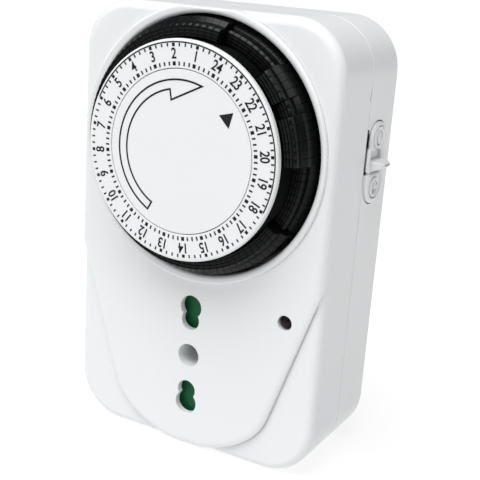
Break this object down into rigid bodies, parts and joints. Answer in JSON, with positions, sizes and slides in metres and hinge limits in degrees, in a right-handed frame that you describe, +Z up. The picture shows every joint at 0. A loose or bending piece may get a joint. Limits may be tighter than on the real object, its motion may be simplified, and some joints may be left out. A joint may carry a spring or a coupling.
{
  "type": "plug-in timer",
  "caption": "Mechanical 24-hour plug-in timer: turning dial with sliding tappets, side override slide, shuttered socket in front and plug pins behind.",
  "frame": {"origin": "centre of the rear face, in the plane that meets the wall", "axes": "+Y points out of the rear face into the wall, so the front faces -Y; +Z is up along the long side; +X is to the right seen from the front"},
  "size_m": [0.0733, 0.0608, 0.111],
  "materials": {
    "case_white": "semi-gloss moulded white plastic",
    "dial_white": "satin white plastic with black printing",
    "black_plastic": "satin black plastic",
    "shutter_green": "semi-gloss dark green plastic",
    "lamp_tint": "dark tinted clear plastic",
    "natural_plastic": "natural acetal",
    "amber_plastic": "amber acetal",
    "plated_steel": "zinc plated",
    "nickel_brass": "bright nickel plated brass",
    "spring_bronze": "bare phosphor bronze",
    "tinplate": "drawn tinplate",
    "coil_winding": "wound enamelled copper under tape",
    "ferrite": "sintered ferrite",
    "circuit_board": "solder-masked board",
    "resistor_body": "lacquered resistor",
    "wire_brown": "insulation",
    "wire_black": "insulation",
    "wire_blue": "insulation"
  },
  "bodies": {
    "case": {"front_housing": "case_white", "rear_housing": "case_white", "switch_surround": "case_white", "centre_disc": "dial_white", "switch_case": "black_plastic", "contact_carrier": "black_plastic", "sleeve_live": "black_plastic", "sleeve_neutral": "black_plastic", "lamp_lens": "lamp_tint", "movement_plate": "natural_plastic", "housing_screw_1": "plated_steel", "housing_screw_2": "plated_steel", "housing_screw_3": "plated_steel", "housing_screw_4": "plated_steel", "plate_screw_1": "plated_steel", "plate_screw_2": "plated_steel", "dial_spindle": "plated_steel", "spindle_nut": "plated_steel", "transfer_axle": "plated_steel", "lever_pivot": "plated_steel", "shutter_spring": "plated_steel", "pin_live": "nickel_brass", "pin_earth": "nickel_brass", "pin_neutral": "nickel_brass", "clip_live": "spring_bronze", "clip_earth": "spring_bronze", "clip_neutral": "spring_bronze", "switch_blade": "spring_bronze", "switch_contact": "spring_bronze", "motor_case": "tinplate", "motor_cover": "tinplate", "motor_coil": "coil_winding", "lamp_board": "circuit_board", "lamp_resistor": "resistor_body", "live_wire": "wire_brown", "switched_wire": "wire_black", "neutral_wire": "wire_blue"},
    "dial": {"dial_drum": "black_plastic", "dial_face": "dial_white"},
    "transfer": {"transfer_gear": "natural_plastic"},
    "motor_output": {"motor_pinion": "natural_plastic"},
    "rotor": {"motor_rotor": "ferrite"},
    "lever": {"follower_lever": "amber_plastic"},
    "plunger": {"switch_plunger": "natural_plastic"},
    "override": {"override_slider": "case_white"},
    "shutter": {"socket_shutter": "shutter_green"},
    "tappets_01": {"tappets_01": "black_plastic"},
    "tappets_02": {"tappets_02": "black_plastic"},
    "tappets_03": {"tappets_03": "black_plastic"},
    "tappets_04": {"tappets_04": "black_plastic"},
    "tappets_05": {"tappets_05": "black_plastic"},
    "tappets_06": {"tappets_06": "black_plastic"},
    "tappets_07": {"tappets_07": "black_plastic"},
    "tappets_08": {"tappets_08": "black_plastic"},
    "tappets_09": {"tappets_09": "black_plastic"},
    "tappets_10": {"tappets_10": "black_plastic"},
    "tappets_11": {"tappets_11": "black_plastic"},
    "tappets_12": {"tappets_12": "black_plastic"}
  },
  "joints": [
    {"name": "dial_spin", "type": "hinge", "parent": "case", "child": "dial", "pos_m": [0, -0.0325, 0.02305], "axis": [0, 1, 0], "continuous": true},
    {"name": "transfer_spin", "type": "hinge", "parent": "case", "child": "transfer", "pos_m": [-0.012, -0.0215, 0.00705], "axis": [0, 1, 0], "continuous": true},
    {"name": "motor_output_spin", "type": "hinge", "parent": "case", "child": "motor_output", "pos_m": [-0.0192, -0.0185, 0.01665], "axis": [0, 1, 0], "continuous": true},
    {"name": "rotor_spin", "type": "hinge", "parent": "case", "child": "rotor", "pos_m": [-0.008, -0.011, 0.026], "axis": [0, 1, 0], "continuous": true},
    {"name": "tappets_01_slide", "type": "slide", "parent": "dial", "child": "tappets_01", "axis": [0, 1, 0], "range_m": [-0.0019, 0.003]},
    {"name": "tappets_02_slide", "type": "slide", "parent": "dial", "child": "tappets_02", "axis": [0, 1, 0], "range_m": [-0.0019, 0.003]},
    {"name": "tappets_03_slide", "type": "slide", "parent": "dial", "child": "tappets_03", "axis": [0, 1, 0], "range_m": [-0.0019, 0.003]},
    {"name": "tappets_04_slide", "type": "slide", "parent": "dial", "child": "tappets_04", "axis": [0, 1, 0], "range_m": [-0.0019, 0.003]},
    {"name": "tappets_05_slide", "type": "slide", "parent": "dial", "child": "tappets_05", "axis": [0, 1, 0], "range_m": [-0.0019, 0.003]},
    {"name": "tappets_06_slide", "type": "slide", "parent": "dial", "child": "tappets_06", "axis": [0, 1, 0], "range_m": [-0.0019, 0.003]},
    {"name": "tappets_07_slide", "type": "slide", "parent": "dial", "child": "tappets_07", "axis": [0, 1, 0], "range_m": [-0.0019, 0.003]},
    {"name": "tappets_08_slide", "type": "slide", "parent": "dial", "child": "tappets_08", "axis": [0, 1, 0], "range_m": [-0.0049, 0]},
    {"name": "tappets_09_slide", "type": "slide", "parent": "dial", "child": "tappets_09", "axis": [0, 1, 0], "range_m": [0, 0.0049]},
    {"name": "tappets_10_slide", "type": "slide", "parent": "dial", "child": "tappets_10", "axis": [0, 1, 0], "range_m": [-0.0013, 0.0036]},
    {"name": "tappets_11_slide", "type": "slide", "parent": "dial", "child": "tappets_11", "axis": [0, 1, 0], "range_m": [0, 0.0049]},
    {"name": "tappets_12_slide", "type": "slide", "parent": "dial", "child": "tappets_12", "axis": [0, 1, 0], "range_m": [-0.0049, 0]},
    {"name": "lever_swing", "type": "hinge", "parent": "case", "child": "lever", "pos_m": [0.026, -0.018, -0.006], "axis": [-1, 0, 0], "range_deg": [0, 7], "stiffness_Nm_per_rad": 0.01, "springref_deg": -5.73},
    {"name": "plunger_press", "type": "slide", "parent": "case", "child": "plunger", "axis": [0, 1, 0], "range_m": [0, 0.0009]},
    {"name": "override_travel", "type": "slide", "parent": "case", "child": "override", "axis": [0, 0, 1], "range_m": [0, 0.002]},
    {"name": "shutter_turn", "type": "hinge", "parent": "case", "child": "shutter", "pos_m": [0, -0.0288, -0.03025], "axis": [0, 1, 0], "range_deg": [0, 40], "stiffness_Nm_per_rad": 0.002, "springref_deg": -17.19}
  ],
  "couplings": [
    {"joint": "transfer_spin", "follows": "dial_spin", "ratio": -4},
    {"joint": "motor_output_spin", "follows": "dial_spin", "ratio": 12},
    {"joint": "plunger_press", "follows": "lever_swing", "m_per_rad": 0.007}
  ]
}
